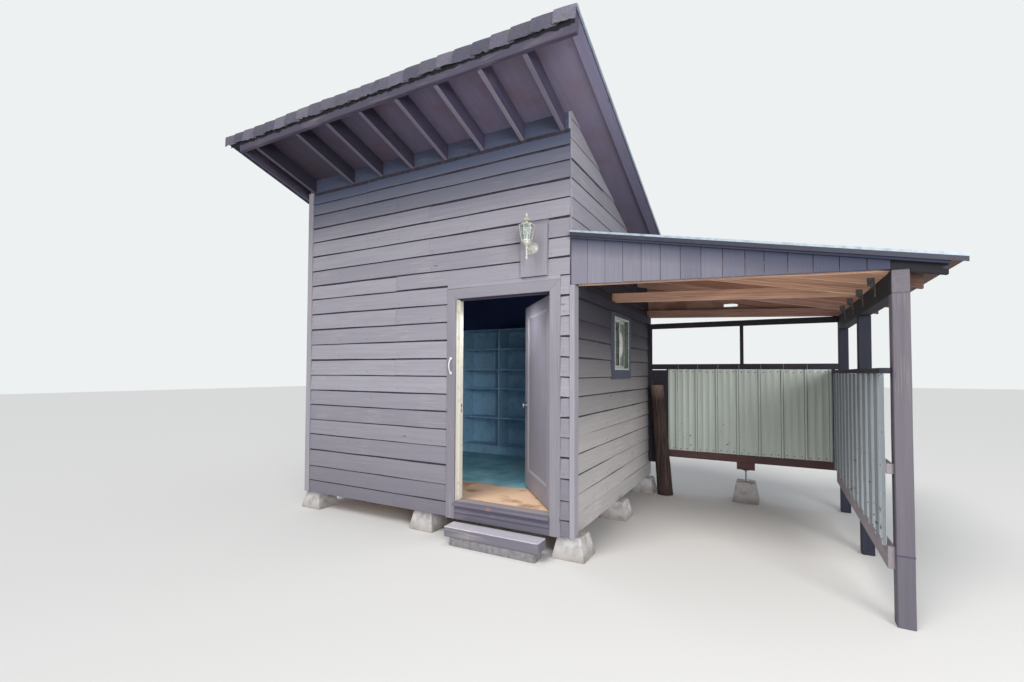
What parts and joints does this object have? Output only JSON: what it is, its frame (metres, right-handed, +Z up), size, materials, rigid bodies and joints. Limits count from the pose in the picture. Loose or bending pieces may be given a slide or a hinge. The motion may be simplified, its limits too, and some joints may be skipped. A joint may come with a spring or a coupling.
{
  "type": "boathouse",
  "caption": "Timber boathouse on piers: a lap-boarded shed with a single-slope roof, hinged door and shelves, beside an open boat shelter with ribbed metal walls.",
  "frame": {"origin": "on the ground, on the foot of the front right pier, under the outer corner where the shed's front and right walls meet", "axes": "+X to the right along the front wall towards the boat shelter, +Y from front to back, +Z up"},
  "size_m": [5.872, 3.783, 3.8921],
  "materials": {
    "concrete": "rough cast",
    "bare_timber": "sawn, weathered",
    "plywood": "sheathing plywood",
    "painted_siding": "flat exterior paint",
    "painted_trim": "flat exterior paint",
    "shingles": "mineral granules on felt",
    "edge_metal": "satin paint",
    "hinge_steel": "satin",
    "knob_chrome": "chromed",
    "white_metal": "gloss paint",
    "window_paint": "satin",
    "clear_glass": "clear",
    "lantern_metal": "weathered",
    "white_board": "satin paint",
    "zinc_steel": "zinc coated",
    "ribbed_sheet": "weathered paint",
    "log": "peeled, with bark left in patches"
  },
  "bodies": {
    "building": {"pier_blocks": "concrete", "floor_frame": "bare_timber", "floor_boards": "plywood", "front_wall_left": "painted_siding", "front_wall_right": "painted_siding", "front_wall_over_door": "painted_siding", "left_wall": "painted_siding", "back_wall": "painted_siding", "right_wall": "painted_siding", "corner_trim": "painted_trim", "roof_rafters": "painted_trim", "eave_blocks": "painted_trim", "roof_fascias": "painted_trim", "roof_deck": "plywood", "roof_shingles": "shingles", "shingle_caps": "shingles", "drip_edges": "edge_metal", "door_frame": "painted_trim", "casing_boards": "painted_trim", "door_step": "painted_trim", "door_hinges": "hinge_steel", "pull_handle": "white_metal", "window_frame": "window_paint", "window_glass": "clear_glass", "lantern_board": "painted_trim", "lantern": "lantern_metal", "lantern_glass": "clear_glass", "shelf_unit": "white_board", "lean_posts": "painted_trim", "lean_beam": "painted_trim", "lean_ties": "bare_timber", "lean_rafters": "bare_timber", "beam_brackets": "zinc_steel", "lean_fascia": "painted_trim", "lean_deck": "plywood", "lean_roofing": "shingles", "rear_gable_panel": "plywood", "back_frame": "painted_trim", "back_sheets": "ribbed_sheet", "side_rails": "painted_trim", "side_sheets": "ribbed_sheet", "log_post": "log", "prop_rod": "zinc_steel"},
    "door": {"door_leaf": "painted_trim", "door_knobs": "knob_chrome"}
  },
  "joints": [
    {"name": "door_hinge", "type": "hinge", "parent": "building", "child": "door", "pos_m": [-0.1775, 0.117, 1.2], "axis": [0, 0, -1], "range_deg": [-50, 40]}
  ]
}
